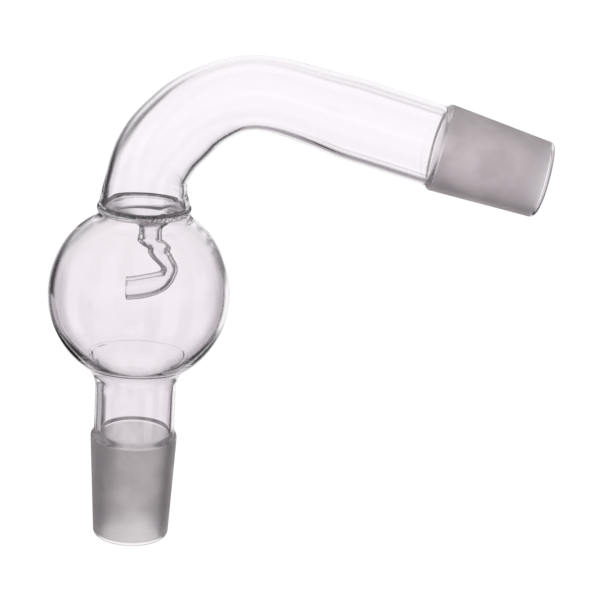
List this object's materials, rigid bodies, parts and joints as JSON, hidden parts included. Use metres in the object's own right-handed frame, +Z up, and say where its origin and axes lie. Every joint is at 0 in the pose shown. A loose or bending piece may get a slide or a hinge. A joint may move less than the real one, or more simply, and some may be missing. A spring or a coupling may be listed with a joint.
{
  "type": "sloping distillation splash head",
  "caption": "Clear glass splash head: ground cone, stem, round bulb with an inner bent drip tube, and a bent side arm sloping down to a second ground cone.",
  "frame": {"origin": "centre of the lower cone's open end, at its lowest point", "axes": "+Z up the axis of the cone, stem and bulb; +X towards the side arm, whose axis lies in the XZ plane; +Y away from a viewer who sees the side arm on the right"},
  "size_m": [0.1348, 0.0498, 0.1393],
  "materials": {
    "clear_glass": "smooth clear borosilicate glass, fire-polished",
    "ground_glass": "clear borosilicate glass, finely ground outside to a matt 1 in 10 taper"
  },
  "bodies": {
    "root": {"lower_cone": "ground_glass", "lower_stem": "clear_glass", "lower_seal": "clear_glass", "bulb": "clear_glass", "ring_seal": "clear_glass", "drip_funnel": "clear_glass", "drip_tube": "clear_glass", "vapour_tube": "clear_glass", "side_seal": "clear_glass", "side_cone": "ground_glass"}
  },
  "joints": []
}
